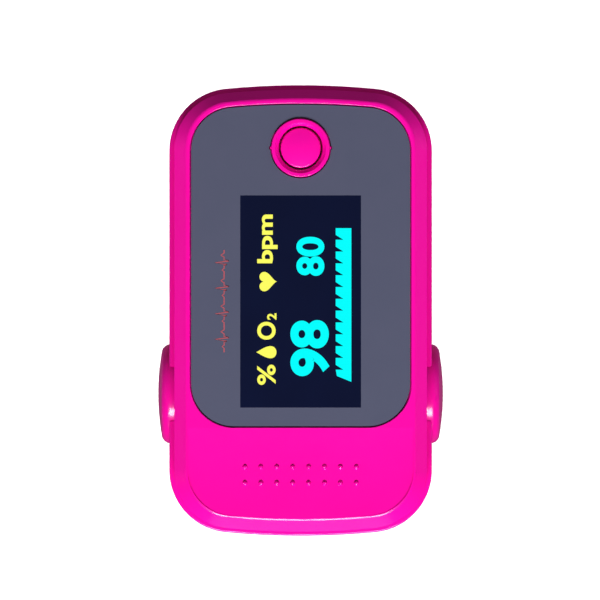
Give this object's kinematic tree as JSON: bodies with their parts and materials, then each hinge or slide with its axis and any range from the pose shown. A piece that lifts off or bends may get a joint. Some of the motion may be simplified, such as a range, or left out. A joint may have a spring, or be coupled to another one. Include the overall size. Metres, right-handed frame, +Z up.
{
  "type": "fingertip pulse oximeter",
  "caption": "Clip-on fingertip pulse oximeter: two sprung jaws on a hinge pin, finger chamber, display panel, push button and sliding battery door.",
  "frame": {"origin": "under the middle of the device, on the plane that it rests on", "axes": "+Z up through the display, +Y towards the end where the finger goes in, +X to the right seen from above"},
  "size_m": [0.0368, 0.058, 0.0332],
  "materials": {
    "shell_pink": "high gloss moulded ABS",
    "panel_grey": "gloss tinted acrylic, printed on the back",
    "display_glass": "dark display glass",
    "foam_black": "matt foam",
    "flex_amber": "polyimide film",
    "board_green": "solder mask",
    "chip_black": "epoxy packages",
    "switch_black": "moulded body with tinned pads",
    "frame_white": "satin moulded ABS",
    "pad_silicone": "soft satin silicone",
    "lens_clear": "clear optical window",
    "emitter_clear": "moulded epoxy",
    "cell_jacket": "printed steel can, at an AAA cell's average density",
    "spring_steel": "drawn wire",
    "contact_nickel": "nickel plate",
    "pin_steel": "ground rod",
    "screw_zinc": "black zinc",
    "cable_grey": "flat ribbon lead"
  },
  "bodies": {
    "lower_jaw": {"bottom_cover": "shell_pink", "hinge_cap_left": "shell_pink", "hinge_cap_right": "shell_pink", "lower_frame": "frame_white", "lower_screws": "screw_zinc", "lower_finger_pad": "pad_silicone", "lower_lens": "lens_clear", "emitter_board": "board_green", "emitter_led": "emitter_clear", "battery_left": "cell_jacket", "battery_right": "cell_jacket", "contact_spring_left": "spring_steel", "contact_spring_right": "spring_steel", "battery_contacts": "contact_nickel", "hinge_pin": "pin_steel", "torsion_spring_left": "spring_steel", "torsion_spring_right": "spring_steel", "sensor_cable": "cable_grey"},
    "upper_jaw": {"top_cover": "shell_pink", "display_panel": "panel_grey", "display_module": "display_glass", "display_gasket": "foam_black", "display_tape": "foam_black", "display_flex": "flex_amber", "main_board": "board_green", "board_chips": "chip_black", "tact_switch": "switch_black", "upper_frame": "frame_white", "upper_screws": "screw_zinc", "upper_finger_pad": "pad_silicone", "upper_lens": "lens_clear", "photodiode": "chip_black"},
    "power_button": {"power_button": "shell_pink", "switch_plunger": "switch_black"},
    "battery_door": {"battery_door": "shell_pink"}
  },
  "joints": [
    {"name": "jaw_hinge", "type": "hinge", "parent": "lower_jaw", "child": "upper_jaw", "pos_m": [0, -0.01074, 0.0213], "axis": [1, 0, 0], "range_deg": [0, 18], "stiffness_Nm_per_rad": 0.09, "springref_deg": -20.05, "deforming": ["torsion_spring_left", "torsion_spring_right", "sensor_cable"]},
    {"name": "power_button_press", "type": "slide", "parent": "upper_jaw", "child": "power_button", "axis": [0, 0, -1], "range_m": [0, 0.0003], "stiffness_N_per_m": 400, "springref_m": -0.001},
    {"name": "battery_door_slide", "type": "slide", "parent": "lower_jaw", "child": "battery_door", "axis": [0, -1, 0], "range_m": [0, 0.047]}
  ]
}
